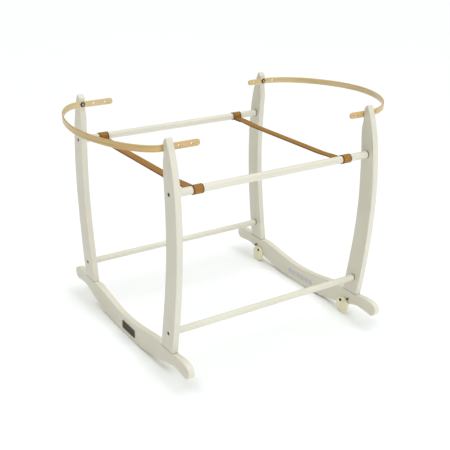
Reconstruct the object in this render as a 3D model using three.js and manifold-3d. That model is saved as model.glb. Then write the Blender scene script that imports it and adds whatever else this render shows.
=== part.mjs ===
// Rocking stand for a Moses basket: two end frames, each two tusk-shaped legs standing on a
// rocker, joined by four round rails. Two webbing straps between the upper rails carry the
// basket, and a bentwood hoop at each end keeps it from sliding. Eccentric discs on the
// rockers turn down to stop the rocking. Millimetres, +Z up, X along the rails.
import * as THREE from 'three';
import { mergeVertices } from 'three/addons/utils/BufferGeometryUtils.js';
import Module from 'manifold-3d';

const wasm = await Module();
wasm.setup();

// ---- driving dimensions --------------------------------------------------------------------
const GAP = 0.3; // clearance between pieces that touch
const BOARD = 18; // thickness of legs and rockers
const CHAMFER = 2; // eased edges of the boards
const FRAME_SPAN = 627; // over the outer faces of the two end frames

const UPPER_RAIL = { y: 262, z: 501, radius: 10 };
const LOWER_RAIL = { y: 247, z: 127, radius: 9 };

const ROCKER = { radius: 820, flat: 12, neck: 248, reach: 347, midHeight: 57.4, seat: 76, tip: 19 };
const LEG = { foot: [208.5, 265.5], belly: 296, bellyHeight: 380, waist: 244, top: 634 };
const HOOP_SEAT = { y: 239.5, low: 588, high: 624 }; // flat on a leg's inner edge for the hoop

const STRIP = { height: 17, thickness: 3.5, z: 607, pitch: 34, end: 22, hole: 2.9, holes: 3 };
const HOOPS = [
  { side: 'left', reach: 125, pinned: 3 }, // pinned: the hole, counted from the end, on the screw
  { side: 'right', reach: 191, pinned: 2 },
];
const HOOP_ROUNDNESS = 1.8; // exponent of the superellipse that the bent strip follows
const HOOP_LEAD = 12; // straight run between the screw and the bend

const STRAP = { width: 29, thickness: 1.8, drop: 6, crease: 2, x: { left: -237.5, right: 220 } };

const DISC = { radius: 24, thickness: 8, y: 217, pivotY: 211, pivotZ: 39.5, raised: 0.75 * Math.PI };
const STOP = { y: 234, z: 50, radius: 2.7, stand: 6.5, depth: 7 };

const BOLT = { shank: 2.7, head: 5, headHeight: 4.2, bore: 5, length: 30, socket: 2.6 };
const INSERT = { outer: 4.3, inner: 3, length: 16 };
const DOWEL = { radius: 4, half: 18, y: [223, 252] };
const HOOP_SCREW = { shank: 2.2, depth: 17, head: 3.8, headHeight: 2.2 };
const WASHER = { radius: 7, thickness: 2 };
const DISC_SCREW = { shank: 2.4, depth: 13, head: 4.4, headHeight: 2.4 };
const PLATE = { length: 74, height: 23.5, thickness: 1.5, y: -19, z: 28.5 };

const FRAME_X = (FRAME_SPAN - BOARD) / 2; // middle of an end frame's boards
const RAIL_LENGTH = FRAME_SPAN - 2 * BOARD - 2 * GAP;
const CENTRE_X = (HOOPS[1].reach - HOOPS[0].reach) / 2; // middle of the whole, over the hoops

// ---- materials -----------------------------------------------------------------------------
const paint = (color, roughness, metalness = 0) =>
  new THREE.MeshStandardMaterial({ color, roughness, metalness });

const white = () => paint(0xeeebe2, 0.45);
const bentwood = () => paint(0xcfae74, 0.55);
const webbing = () => paint(0xa3662c, 0.85);
const bronze = () => paint(0x3b2c20, 0.35, 0.8);
const ivory = () => paint(0xe4dcb8, 0.45);
const zinc = () => paint(0xb9bcbd, 0.35, 0.9);
const beech = () => paint(0xd8b98a, 0.7);

// ---- solids --------------------------------------------------------------------------------
/** A closed three.js geometry as a manifold solid. */
function solid(geometry) {
  const bare = geometry.clone();
  bare.deleteAttribute('normal');
  bare.deleteAttribute('uv');
  const merged = mergeVertices(bare, 1e-4);
  const mesh = new wasm.Mesh({
    numProp: 3,
    vertProperties: new Float32Array(merged.attributes.position.array),
    triVerts: new Uint32Array(merged.index.array),
  });
  return new wasm.Manifold(mesh);
}

/** A manifold solid as a three.js geometry. */
function geometryOf(manifold) {
  const mesh = manifold.getMesh();
  const geometry = new THREE.BufferGeometry();
  geometry.setAttribute('position', new THREE.BufferAttribute(mesh.vertProperties, 3));
  geometry.setIndex(new THREE.BufferAttribute(mesh.triVerts, 1));
  geometry.computeVertexNormals();
  return geometry;
}

/** A first geometry less all the others. */
function carve(geometry, cutters) {
  const body = cutters.reduce((rest, cutter) => rest.subtract(solid(cutter)), solid(geometry));
  return geometryOf(body);
}

/** An outline in Y and Z, extruded along X about x = 0. */
function slabAlongX(shape, thickness, chamfer = 0, curveSegments = 6) {
  const geometry = new THREE.ExtrudeGeometry(shape, {
    depth: thickness - 2 * chamfer,
    curveSegments,
    bevelEnabled: chamfer > 0,
    bevelThickness: chamfer,
    bevelSize: chamfer,
    bevelOffset: -chamfer,
    bevelSegments: 1,
  });
  geometry.translate(0, 0, chamfer - thickness / 2);
  const axes = [new THREE.Vector3(0, 1, 0), new THREE.Vector3(0, 0, 1), new THREE.Vector3(1, 0, 0)];
  return geometry.applyMatrix4(new THREE.Matrix4().makeBasis(...axes));
}

/** A turned piece: a profile of [radius, height] points, turned about +Z. */
function turned(profile, segments = 12) {
  const points = profile.map(([r, h]) => new THREE.Vector2(r, h));
  return new THREE.LatheGeometry(points, segments).rotateX(Math.PI / 2);
}

/** A plain cylinder from z = low to z = high, used for pins, bores and shanks. */
function cylinder(radius, low, high, segments = 10) {
  return new THREE.CylinderGeometry(radius, radius, high - low, segments)
    .rotateX(Math.PI / 2)
    .translate(0, 0, (low + high) / 2);
}

/** Turns a piece that is made along +Z so that it points along +X (or -X). */
const alongX = (geometry, sign = 1) => geometry.rotateY((sign * Math.PI) / 2);

/** Turns a piece that is made along +Z so that it points along +Y (or -Y). */
const alongY = (geometry, sign = 1) => geometry.rotateX((-sign * Math.PI) / 2);

function part(name, geometry, material) {
  const mesh = new THREE.Mesh(geometry, material);
  mesh.name = name;
  return mesh;
}

// ---- end frame: rocker and legs ------------------------------------------------------------
/** Height of the rocker's rolling edge at y. */
function rollingEdge(y) {
  const sag = (d) => ROCKER.radius - Math.sqrt(ROCKER.radius ** 2 - d ** 2);
  return Math.max(0, sag(y) - sag(ROCKER.flat));
}

/** The rocker's outline: one half drawn from the floor round its tip to the middle, and its mirror. */
function rockerShape() {
  const { flat, neck, reach, midHeight, seat, tip } = ROCKER;
  const tipY = reach - tip;
  const tipZ = 58.3;
  const half = new THREE.Path().moveTo(flat, 0);
  const steps = 7;
  for (let i = 1; i <= steps; i += 1) {
    const y = flat + ((neck - flat) * i) / steps;
    half.lineTo(y, rollingEdge(y));
  }
  half.bezierCurveTo(neck + 10, 42, neck + 24, 45.5, neck + 38, 44.3);
  half.quadraticCurveTo(tipY - 20, 42.5, tipY, tipZ - tip);
  half.absarc(tipY, tipZ, tip, -Math.PI / 2, 0.39 * Math.PI, false);
  half.bezierCurveTo(tipY - 20, 84.5, LEG.foot[1] + 12, seat, LEG.foot[1] + 2, seat);
  half.lineTo(LEG.foot[0] - 1, seat);
  half.bezierCurveTo(160, 84, 100, midHeight, 0, midHeight);
  const right = half.getPoints(6);
  const left = right.slice(0, -1).map((p) => new THREE.Vector2(-p.x, p.y)).reverse();
  return new THREE.Shape([...right, ...left]);
}

function legShape() {
  const { foot, belly, bellyHeight, waist, top } = LEG;
  const base = ROCKER.seat + GAP;
  const shape = new THREE.Shape();
  shape.moveTo(foot[0], base);
  shape.lineTo(foot[1], base);
  shape.bezierCurveTo(280, 155, belly, 280, belly, bellyHeight);
  shape.bezierCurveTo(belly, 470, 288, 565, 253.5, top - 3);
  shape.quadraticCurveTo(250, top + 1, 246, top - 3);
  shape.lineTo(HOOP_SEAT.y, HOOP_SEAT.high);
  shape.lineTo(HOOP_SEAT.y, HOOP_SEAT.low);
  shape.quadraticCurveTo(235, 574, 235.5, 556);
  shape.quadraticCurveTo(waist, 460, waist, bellyHeight);
  shape.bezierCurveTo(243, 270, 222, 165, foot[0], base);
  return shape;
}

/** Mirrors a YZ outline to the other side of the frame. */
function mirrored(shape) {
  const points = shape.getPoints(6).map((p) => new THREE.Vector2(-p.x, p.y));
  return new THREE.Shape(points);
}

function rocker() {
  const cutters = [];
  for (const s of [-1, 1]) {
    for (const y of DOWEL.y) {
      const bore = cylinder(DOWEL.radius + GAP, ROCKER.seat - DOWEL.half - 1, ROCKER.seat + 5);
      cutters.push(bore.translate(0, s * y, 0));
    }
    const screwBore = alongX(cylinder(DISC_SCREW.shank + GAP, BOARD / 2 - DISC_SCREW.depth - 1, BOARD));
    cutters.push(screwBore.translate(0, s * DISC.pivotY, DISC.pivotZ));
    const stopBore = alongX(cylinder(STOP.radius + GAP, BOARD / 2 - STOP.depth - 1, BOARD));
    cutters.push(stopBore.translate(0, s * STOP.y, STOP.z));
  }
  return carve(slabAlongX(rockerShape(), BOARD, CHAMFER), cutters);
}

/** One leg; s is +1 or -1, the side of the frame it stands on. */
function leg(s) {
  const shape = s > 0 ? legShape() : mirrored(legShape());
  const cutters = [];
  for (const rail of [UPPER_RAIL, LOWER_RAIL]) {
    const bore = alongX(cylinder(BOLT.shank + GAP, -BOARD, BOARD)).translate(0, s * rail.y, rail.z);
    const counterbore = alongX(cylinder(BOLT.head + GAP, -BOARD, BOLT.bore - BOARD / 2));
    cutters.push(bore, counterbore.translate(0, s * rail.y, rail.z));
  }
  const base = ROCKER.seat + GAP;
  for (const y of DOWEL.y) {
    cutters.push(cylinder(DOWEL.radius + GAP, base - 5, base + DOWEL.half + 1).translate(0, s * y, 0));
  }
  const screwBore = alongY(cylinder(HOOP_SCREW.shank + GAP, -5, HOOP_SCREW.depth + 1), s);
  cutters.push(screwBore.translate(0, s * HOOP_SEAT.y, STRIP.z));
  return carve(slabAlongX(shape, BOARD, CHAMFER), cutters);
}

function dowel() {
  const { radius, half } = DOWEL;
  const profile = [[0, -half], [radius - 1, -half], [radius, 1 - half],
    [radius, half - 1], [radius - 1, half], [0, half]];
  return turned(profile, 8);
}

// ---- rails and their bolts -----------------------------------------------------------------
/** A round rail along X, bored at both ends for its threaded inserts. */
function rail(radius) {
  const half = RAIL_LENGTH / 2;
  const bore = INSERT.outer + GAP;
  const floor = half - INSERT.length - 6;
  const rightEnd = [[radius, half - 1.5], [radius - 1.5, half], [bore, half], [bore, floor], [0, floor]];
  const leftEnd = rightEnd.map(([r, x]) => [r, -x]).reverse();
  return alongX(turned([...leftEnd, ...rightEnd], 16));
}

/** Threaded sleeve driven into a rail's end. */
function insert() {
  const { outer, inner, length } = INSERT;
  return turned([[inner, 0], [outer, 0], [outer, length], [inner, length], [inner, 0]], 10);
}

/** Socket-head bolt; its head's top is at z = 0 and its shank points along +Z. */
function bolt() {
  const { shank, head, headHeight, length, socket } = BOLT;
  const profile = [[0, 0], [head - 0.8, 0], [head, 0.8], [head, headHeight], [shank, headHeight],
    [shank, headHeight + length], [0, headHeight + length]];
  return carve(turned(profile), [cylinder(socket, -1, 2.5, 6)]);
}

// ---- hoops ---------------------------------------------------------------------------------
/** Middle line of a hoop in X and Y: x outward from the screws, from the +Y end to the -Y end. */
function hoopLine({ reach, pinned }) {
  const half = HOOP_SEAT.y - GAP - STRIP.thickness / 2;
  const depth = reach - HOOP_LEAD - STRIP.thickness / 2;
  const tail = -(STRIP.end + (pinned - 1) * STRIP.pitch);
  const steps = 32;
  const bend = [];
  for (let i = 0; i <= steps; i += 1) {
    const angle = (Math.PI * i) / steps;
    const power = 2 / HOOP_ROUNDNESS;
    const across = Math.sign(Math.cos(angle)) * Math.abs(Math.cos(angle)) ** power;
    bend.push(new THREE.Vector2(HOOP_LEAD + depth * Math.sin(angle) ** power, half * across));
  }
  return [new THREE.Vector2(tail, half), ...bend, new THREE.Vector2(tail, -half)];
}

/** A line of points moved sideways by a distance. */
function offsetLine(points, distance) {
  return points.map((p, i) => {
    const before = points[Math.max(0, i - 1)];
    const after = points[Math.min(points.length - 1, i + 1)];
    const along = after.clone().sub(before).normalize();
    return new THREE.Vector2(p.x - along.y * distance, p.y + along.x * distance);
  });
}

/** A bentwood hoop, its bend towards +X, its screws on the line x = 0, z = 0. */
function hoop(spec) {
  const line = hoopLine(spec);
  const halfThick = STRIP.thickness / 2;
  const outline = [...offsetLine(line, halfThick), ...offsetLine(line, -halfThick).reverse()];
  const shape = new THREE.Shape(outline);
  const band = new THREE.ExtrudeGeometry(shape, { depth: STRIP.height, bevelEnabled: false });
  band.translate(0, 0, -STRIP.height / 2);
  const tail = line[0].x;
  const round = 7;
  const side = new THREE.Shape();
  side.moveTo(400, -20);
  side.lineTo(400, 20);
  side.lineTo(tail + round, 20);
  side.lineTo(tail + round, STRIP.height / 2);
  side.absarc(tail + round, STRIP.height / 2 - round, round, Math.PI / 2, Math.PI, false);
  side.absarc(tail + round, round - STRIP.height / 2, round, Math.PI, 1.5 * Math.PI, false);
  side.lineTo(tail + round, -20);
  const reachY = 2 * HOOP_SEAT.y + 20;
  const settings = { depth: reachY, bevelEnabled: false, curveSegments: 3 };
  const envelope = new THREE.ExtrudeGeometry(side, settings);
  envelope.translate(0, 0, -reachY / 2).rotateX(Math.PI / 2);
  let body = solid(band).intersect(solid(envelope));
  for (let i = 0; i < STRIP.holes; i += 1) {
    const x = tail + STRIP.end + i * STRIP.pitch;
    const drill = alongY(cylinder(STRIP.hole, -reachY, reachY, 8)).translate(x, 0, 0);
    body = body.subtract(solid(drill));
  }
  return geometryOf(body);
}

/** Cup washer under a hoop screw's head, on +Z from z = 0. */
function cupWasher() {
  const { radius, thickness } = WASHER;
  const bore = HOOP_SCREW.shank + GAP;
  return turned([[bore, 0], [radius, 0], [radius - 0.6, 1], [radius - 2.4, thickness], [bore, thickness],
    [bore, 0]]);
}

/** Round-headed screw: the underside of its head is at z = 0 and its shank points along -Z. */
function roundHeadScrew({ shank, head, headHeight }, length) {
  return turned([[0, -length], [shank * 0.5, -length], [shank, 2.5 - length], [shank, 0], [head, 0],
    [head * 0.86, headHeight * 0.6], [head * 0.45, headHeight], [0, headHeight]]);
}

// ---- straps --------------------------------------------------------------------------------
/**
 * A strap: a sewn loop round each upper rail, and the band between them. The band's top turns up
 * into each loop in a small crease, so its flat part ends clear of the loops.
 */
function strap() {
  const { thickness, drop, width, crease } = STRAP;
  const inner = UPPER_RAIL.radius + GAP;
  const outer = inner + thickness;
  const { y, z } = UPPER_RAIL;
  const low = -drop - thickness / 2;
  const high = -drop + thickness / 2;
  const lowJoin = Math.asin(low / outer);
  const topJoin = Math.asin((high + crease) / (outer + crease));
  const creaseY = y - (outer + crease) * Math.cos(topJoin);
  const creaseZ = z + high + crease;
  const shape = new THREE.Shape();
  shape.absarc(y, z, outer, -Math.PI - lowJoin, Math.PI - topJoin, false);
  shape.absarc(creaseY, creaseZ, crease, -topJoin, -Math.PI / 2, true);
  shape.absarc(-creaseY, creaseZ, crease, -Math.PI / 2, topJoin - Math.PI, true);
  shape.absarc(-y, z, outer, topJoin, 2 * Math.PI + lowJoin, false);
  for (const side of [1, -1]) {
    shape.holes.push(new THREE.Path().absarc(side * y, z, inner, 0, 2 * Math.PI, true));
  }
  return slabAlongX(shape, width, 0, 10);
}

// ---- rocking stops -------------------------------------------------------------------------
/**
 * Eccentric disc with eased rims; its pivot is on the x axis, and it fills x = 0 to its thickness.
 * A lowered disc hangs outward and down to the floor, and a raised one is turned inward and up.
 */
function disc(s, raised) {
  const { radius, thickness, y, pivotY, pivotZ } = DISC;
  const sides = 24;
  const edge = radius / Math.cos(Math.PI / sides);
  const ease = 1.2;
  const profile = [[0, 0], [edge - ease, 0], [edge, ease],
    [edge, thickness - ease], [edge - ease, thickness], [0, thickness]];
  const wheel = alongX(turned(profile, sides).rotateZ(Math.PI / sides));
  wheel.translate(0, s * (y - pivotY), radius - pivotZ);
  if (raised) {
    wheel.rotateX(-s * DISC.raised);
  }
  return carve(wheel, [alongX(cylinder(DISC_SCREW.shank + GAP, -1, thickness + 1))]);
}

function stopPin() {
  const { radius, stand, depth } = STOP;
  const profile = [[0, -depth], [radius, -depth], [radius, stand - 1], [radius - 1, stand], [0, stand]];
  return alongX(turned(profile, 12));
}

/** Blank plate with eased corners and a raised rim. */
function namePlate() {
  const { length, height, thickness } = PLATE;
  const round = 3;
  const rim = 2;
  const rounded = (halfL, halfH, r) => {
    const shape = new THREE.Shape();
    shape.absarc(halfL - r, halfH - r, r, 0, Math.PI / 2, false);
    shape.absarc(r - halfL, halfH - r, r, Math.PI / 2, Math.PI, false);
    shape.absarc(r - halfL, r - halfH, r, Math.PI, 1.5 * Math.PI, false);
    shape.absarc(halfL - r, r - halfH, r, 1.5 * Math.PI, 2 * Math.PI, false);
    return shape;
  };
  const plate = slabAlongX(rounded(length / 2, height / 2, round), thickness, 0, 4);
  const field = slabAlongX(rounded(length / 2 - rim, height / 2 - rim, 1.5), thickness, 0, 4);
  return carve(plate, [field.translate(-thickness * 0.65, 0, 0)]);
}

// ---- assembly ------------------------------------------------------------------------------
const stand = new THREE.Group();
stand.position.x = -CENTRE_X;

/** Name of the side of the whole stand that an end frame's own +Y or -Y side faces. */
const facing = (side, s) => ((side === 'left' ? s : -s) > 0 ? 'back' : 'front');

function addLeg(frame, side, s) {
  const where = `${facing(side, s)}_${side}`;
  frame.add(part(`leg_${where}`, leg(s), white()));
  DOWEL.y.forEach((y, i) => {
    const peg = part(`dowel_${where}_${i + 1}`, dowel(), beech());
    peg.position.set(0, s * y, ROCKER.seat + GAP / 2);
    frame.add(peg);
  });
  for (const [level, railAt] of [['upper', UPPER_RAIL], ['lower', LOWER_RAIL]]) {
    const screw = part(`rail_bolt_${level}_${where}`, alongX(bolt()), bronze());
    screw.position.set(BOLT.bore - BOARD / 2 - BOLT.headHeight - GAP, s * railAt.y, railAt.z);
    const sleeve = part(`rail_insert_${level}_${where}`, alongX(insert()), zinc());
    sleeve.position.set(BOARD / 2 + 2, s * railAt.y, railAt.z);
    frame.add(screw, sleeve);
  }
  const hoopFace = HOOP_SEAT.y - 2 * GAP - STRIP.thickness;
  const washer = part(`hoop_washer_${where}`, alongY(cupWasher(), -s), bronze());
  washer.position.set(0, s * hoopFace, STRIP.z);
  const headFace = hoopFace - WASHER.thickness - GAP;
  const screwLength = HOOP_SCREW.depth + HOOP_SEAT.y - headFace;
  const screw = part(`hoop_screw_${where}`, alongY(roundHeadScrew(HOOP_SCREW, screwLength), -s), zinc());
  screw.position.set(0, s * headFace, STRIP.z);
  frame.add(washer, screw);
}

function addRockingStop(frame, side, s) {
  const where = `${facing(side, s)}_${side}`;
  const face = BOARD / 2 + GAP;
  const wheel = part(`stop_disc_${where}`, disc(s, side === 'left'), ivory());
  wheel.position.set(face, s * DISC.pivotY, DISC.pivotZ);
  const headFace = face + DISC.thickness + GAP;
  const screwLength = DISC_SCREW.depth + headFace - BOARD / 2;
  const screw = part(`disc_screw_${where}`, alongX(roundHeadScrew(DISC_SCREW, screwLength)), bronze());
  screw.position.set(headFace, s * DISC.pivotY, DISC.pivotZ);
  const pin = part(`stop_pin_${where}`, stopPin(), bronze());
  pin.position.set(BOARD / 2, s * STOP.y, STOP.z);
  frame.add(wheel, screw, pin);
}

/** An end frame in its own axes: +X points into the stand. */
function addEndFrame(side) {
  const frame = new THREE.Group();
  frame.position.x = side === 'left' ? -FRAME_X : FRAME_X;
  frame.rotation.z = side === 'left' ? 0 : Math.PI;
  frame.add(part(`rocker_${side}`, rocker(), white()));
  for (const s of [1, -1]) {
    addLeg(frame, side, s);
    addRockingStop(frame, side, s);
  }
  stand.add(frame);
}

function addHoop(spec) {
  const out = spec.side === 'left' ? -1 : 1;
  const bent = part(`hoop_${spec.side}`, hoop(spec), bentwood());
  bent.position.set(out * FRAME_X, 0, STRIP.z);
  bent.rotation.z = out > 0 ? 0 : Math.PI;
  stand.add(bent);
}

for (const side of ['left', 'right']) {
  addEndFrame(side);
  const band = part(`strap_${side}`, strap(), webbing());
  band.position.x = STRAP.x[side];
  stand.add(band);
}
HOOPS.forEach(addHoop);

for (const [level, at] of [['upper', UPPER_RAIL], ['lower', LOWER_RAIL]]) {
  for (const [where, s] of [['front', -1], ['back', 1]]) {
    const bar = part(`rail_${level}_${where}`, rail(at.radius), white());
    bar.position.set(0, s * at.y, at.z);
    stand.add(bar);
  }
}

const plate = part('name_plate', namePlate(), bronze());
plate.position.set(-FRAME_SPAN / 2 - GAP - PLATE.thickness / 2, PLATE.y, PLATE.z);
stand.add(plate);

export default stand;
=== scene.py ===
"""Looks of a rocking stand for a basket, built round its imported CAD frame.

Two painted end frames (a curved rocker with two legs each) are joined by four round rails. Two
webbing straps cross between the upper rails, a bentwood hoop stands out from each end, and four
eccentric discs on the rockers stop the rocking.
"""
import math

import bmesh
import bpy
from mathutils import Matrix, Vector


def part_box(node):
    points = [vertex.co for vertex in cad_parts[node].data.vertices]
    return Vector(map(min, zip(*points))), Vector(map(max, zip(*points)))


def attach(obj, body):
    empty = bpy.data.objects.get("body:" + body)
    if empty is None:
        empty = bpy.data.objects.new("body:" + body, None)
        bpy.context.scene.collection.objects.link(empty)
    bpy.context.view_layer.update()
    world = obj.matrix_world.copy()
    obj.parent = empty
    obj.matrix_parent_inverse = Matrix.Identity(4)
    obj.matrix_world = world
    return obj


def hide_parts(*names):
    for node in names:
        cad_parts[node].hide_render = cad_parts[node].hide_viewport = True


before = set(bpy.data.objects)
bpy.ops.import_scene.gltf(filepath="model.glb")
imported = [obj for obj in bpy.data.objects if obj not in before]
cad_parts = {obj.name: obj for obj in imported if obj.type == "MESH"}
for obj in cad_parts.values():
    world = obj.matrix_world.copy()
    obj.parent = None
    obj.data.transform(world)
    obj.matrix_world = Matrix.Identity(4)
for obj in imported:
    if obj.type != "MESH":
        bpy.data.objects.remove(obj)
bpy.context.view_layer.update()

MM = 0.001
X, Y, Z = Vector((1, 0, 0)), Vector((0, 1, 0)), Vector((0, 0, 1))

# The way from each end frame to the middle of the stand.
INWARD = {"left": X, "right": -X}

# Points this near each other, in metres, are one point on a turned body, and edges this short are
# slivers left by a cut.
SAME_POINT = 1e-7
SLIVER = 2e-6
SHARP_ANGLE = math.radians(38)

# Dimensions in millimetres. The outlines lie across the stand: the first number is y from the
# middle, the second is the height.
GAP = 0.3
EASE = 2.0
ROLL_RADIUS = 820
ROLL_FLAT = 12
ROLL_END = 248
SEAT = 76
TIP = Vector((328, 58.3))
TIP_RADIUS = 19
ROCKER_MIDDLE = 57.4
FOOT = (208.5, 265.5)
HOOP_SEAT_Y = 239.5
HOOP_SEAT = (588, 624)
STRIP_HEIGHT = 17
STRIP_THICKNESS = 3.5
STRIP_PITCH = 34
STRIP_END = 22
STRIP_HOLE = 2.9
STRIP_HOLES = 3
HOOP_LEAD = 12
HOOP_ROUNDNESS = 1.8
TAIL_CORNER = 7
WEB_WIDTH = 29
WEB_THICKNESS = 1.8
WEB_DROP = 6
WEB_CREASE = 2
WEB_TAIL = 34
WEB_CUP = 3.2
WEB_LAP = 0.1
WEB_SELVEDGE = 3
WEB_MIDDLE_SHARE = 0.9
CUP_MARGIN = 8
CUP_RUN = 70
SEAM_INSET = 4
SEAM_TO_LOOP = 2
STITCH_PITCH = 3.4
STITCH_RADIUS = 0.32
DISC_RADIUS = 24
DISC_EASE = 1.6
STOP_PIN_RADIUS = 2.7
BOLT_HEAD_RADIUS = 5
BOLT_RADIUS = 2.7
SOCKET_RADIUS = 2.6
SOCKET_DEPTH = 2.5

# Radii and depths of the bores, and how far a cutter starts outside the face it cuts.
DOWEL_BORE = 4.3
DISC_SCREW_BORE = 2.7
STOP_PIN_BORE = 3.0
HOOP_SCREW_BORE = 2.5
BOLT_BORE = 3
BOLT_HEAD_BORE = 5.3
BOLT_HEAD_BORE_DEPTH = 4.5
RAIL_BORE = 4.6
RAIL_BORE_DEPTH = 22
CLEAR = 1

# Each screw's head radius, head height and shank radius, and how far round its recess is turned,
# in radians.
DISC_SCREW = (4.4, 2.4, 2.4)
HOOP_SCREW = (3.8, 2.2, 2.2)
RECESS_TURN = 0.4

# A hoop's outer face is set apart from its inner face by this much across its UV strip, in metres, and
# the bentwood material paints shade on that face.
OUTER_FACE = 0.03

# ---- curves --------------------------------------------------------------------------------


def bezier(points, *controls, steps=12):
    """Runs on from the last point along a Bezier curve with these controls."""
    start = [points[-1], *(Vector(c) for c in controls)]
    for i in range(1, steps + 1):
        row = start
        while len(row) > 1:
            row = [a.lerp(b, i / steps) for a, b in zip(row, row[1:])]
        points.append(row[0])


def arc(points, centre, radius, start, stop, steps=12):
    """Runs on along an arc, whose first point is the last one already there."""
    for i in range(1, steps + 1):
        angle = start + (stop - start) * i / steps
        points.append(Vector(centre) + radius * Vector((math.cos(angle), math.sin(angle))))


def flipped(outline):
    """An outline mirrored across the stand's middle, still anticlockwise."""
    return [Vector((-p.x, p.y)) for p in reversed(outline)]


def line_length(line):
    return sum((b - a).length for a, b in zip(line, line[1:]))


def inset(outline, distance):
    """An anticlockwise outline drawn in by a distance."""
    moved = []
    for before, here, after in zip(outline[-1:] + outline[:-1], outline, outline[1:] + outline[:1]):
        a, b = (here - before).normalized(), (after - here).normalized()
        inward = Vector((-a.y - b.y, a.x + b.x))
        moved.append(here + inward * (distance / (1 + a.dot(b))))
    return moved


def rocker_outline():
    def sag(y):
        return ROLL_RADIUS - math.sqrt(ROLL_RADIUS**2 - y**2)

    half = [Vector((0, 0)), Vector((ROLL_FLAT, 0))]
    steps = 30
    for i in range(1, steps + 1):
        y = ROLL_FLAT + (ROLL_END - ROLL_FLAT) * i / steps
        half.append(Vector((y, sag(y) - sag(ROLL_FLAT))))
    bezier(half, (258, 42), (272, 45.5), (286, 44.3), steps=14)
    bezier(half, (308, 42.5), TIP - Vector((0, TIP_RADIUS)), steps=12)
    arc(half, TIP, TIP_RADIUS, -math.pi / 2, 0.39 * math.pi, steps=18)
    bezier(half, (308, 84.5), (277.5, SEAT), (FOOT[1] + 2, SEAT), steps=18)
    half.append(Vector((FOOT[0] - 1, SEAT)))
    bezier(half, (160, 84), (100, ROCKER_MIDDLE), (0, ROCKER_MIDDLE), steps=36)
    return half + flipped(half)[1:-1]


def leg_outline():
    base, top = SEAT + GAP, 634
    line = [Vector((FOOT[0], base)), Vector((FOOT[1], base))]
    bezier(line, (280, 155), (296, 280), (296, 380), steps=30)
    bezier(line, (296, 470), (288, 565), (253.5, top - 3), steps=26)
    bezier(line, (250, top + 1), (246, top - 3), steps=5)
    line.append(Vector((HOOP_SEAT_Y, HOOP_SEAT[1])))
    line.append(Vector((HOOP_SEAT_Y, HOOP_SEAT[0])))
    bezier(line, (235, 574), (235.5, 556), steps=8)
    bezier(line, (244, 460), (244, 380), steps=18)
    bezier(line, (243, 270), (222, 165), (FOOT[0], base), steps=30)
    return line[:-1]


# ---- meshes --------------------------------------------------------------------------------


def made(name, mesh, material):
    """A smooth-shaded object for a mesh, with its corners kept crisp."""
    piece = bpy.data.objects.new(name, mesh)
    bpy.context.scene.collection.objects.link(piece)
    if material is not None:
        mesh.materials.append(material)
    mesh.shade_smooth()
    mesh.set_sharp_from_angle(angle=SHARP_ANGLE)
    return piece


def loft(name, shells, material, uv=None, wear=None):
    """Closed bodies, each skinned over its rings of points and capped at both ends. uv holds a
    pair and wear a number for every point, in the rings' order."""
    verts, faces = [], []
    for rings in shells:
        first, count = len(verts), len(rings[0])
        verts.extend(p for ring in rings for p in ring)
        for r in range(len(rings) - 1):
            row = first + r * count
            for i in range(count):
                j = (i + 1) % count
                faces.append((row + i, row + j, row + count + j, row + count + i))
        last = first + (len(rings) - 1) * count
        faces.append(tuple(range(first + count - 1, first - 1, -1)))
        faces.append(tuple(range(last, last + count)))
    mesh = bpy.data.meshes.new(name)
    mesh.from_pydata(verts, [], faces)
    if uv is not None:
        layer = mesh.uv_layers.new(name="along")
        for loop in mesh.loops:
            layer.data[loop.index].uv = uv[loop.vertex_index]
    if wear is not None:
        mesh.attributes.new("wear", "FLOAT", "POINT").data.foreach_set("value", wear)
    return made(name, mesh, material)


def plank(name, outline, x_low, x_high, material, ease=EASE, steps=4):
    """A board with rounded-over edges between two x planes, all in millimetres."""
    rounding = []
    for k in range(steps + 1):
        turn = math.pi / 2 * k / steps
        rounding.append((ease * (1 - math.sin(turn)), ease * (1 - math.cos(turn)), math.sin(2 * turn)))
    rows = [(drawn, x_low + depth, worn) for drawn, depth, worn in rounding]
    rows += [(drawn, x_high - depth, worn) for drawn, depth, worn in reversed(rounding)]
    rings, wear = [], []
    for drawn, x, worn in rows:
        rings.append([Vector((x, p.x, p.y)) * MM for p in inset(outline, drawn)])
        wear += [worn] * len(outline)
    return loft(name, [rings], material, wear=wear)


def turned(name, profile, base, direction, material, segments=32, hollow=False):
    """A body turned about an axis from base. profile is (radius, height) in millimetres, up the
    outside; a hollow one closes on itself instead of on the axis."""
    rings = profile + profile[:1] if hollow else profile
    verts, faces = [], []
    for radius, height in rings:
        for i in range(segments):
            angle = 2 * math.pi * i / segments
            verts.append((radius * math.cos(angle) * MM, radius * math.sin(angle) * MM, height * MM))
    for r in range(len(rings) - 1):
        for i in range(segments):
            j = (i + 1) % segments
            row, above = r * segments, (r + 1) * segments
            faces.append((row + i, row + j, above + j, above + i))
    mesh = bpy.data.meshes.new(name)
    mesh.from_pydata(verts, [], faces)
    place = Matrix.Translation(base) @ direction.to_track_quat("Z", "Y").to_matrix().to_4x4()
    shape = bmesh.new()
    shape.from_mesh(mesh)
    bmesh.ops.remove_doubles(shape, verts=shape.verts, dist=SAME_POINT)
    bmesh.ops.transform(shape, matrix=place, verts=shape.verts)
    bmesh.ops.recalc_face_normals(shape, faces=shape.faces)
    shape.to_mesh(mesh)
    shape.free()
    return made(name, mesh, material)


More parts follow.
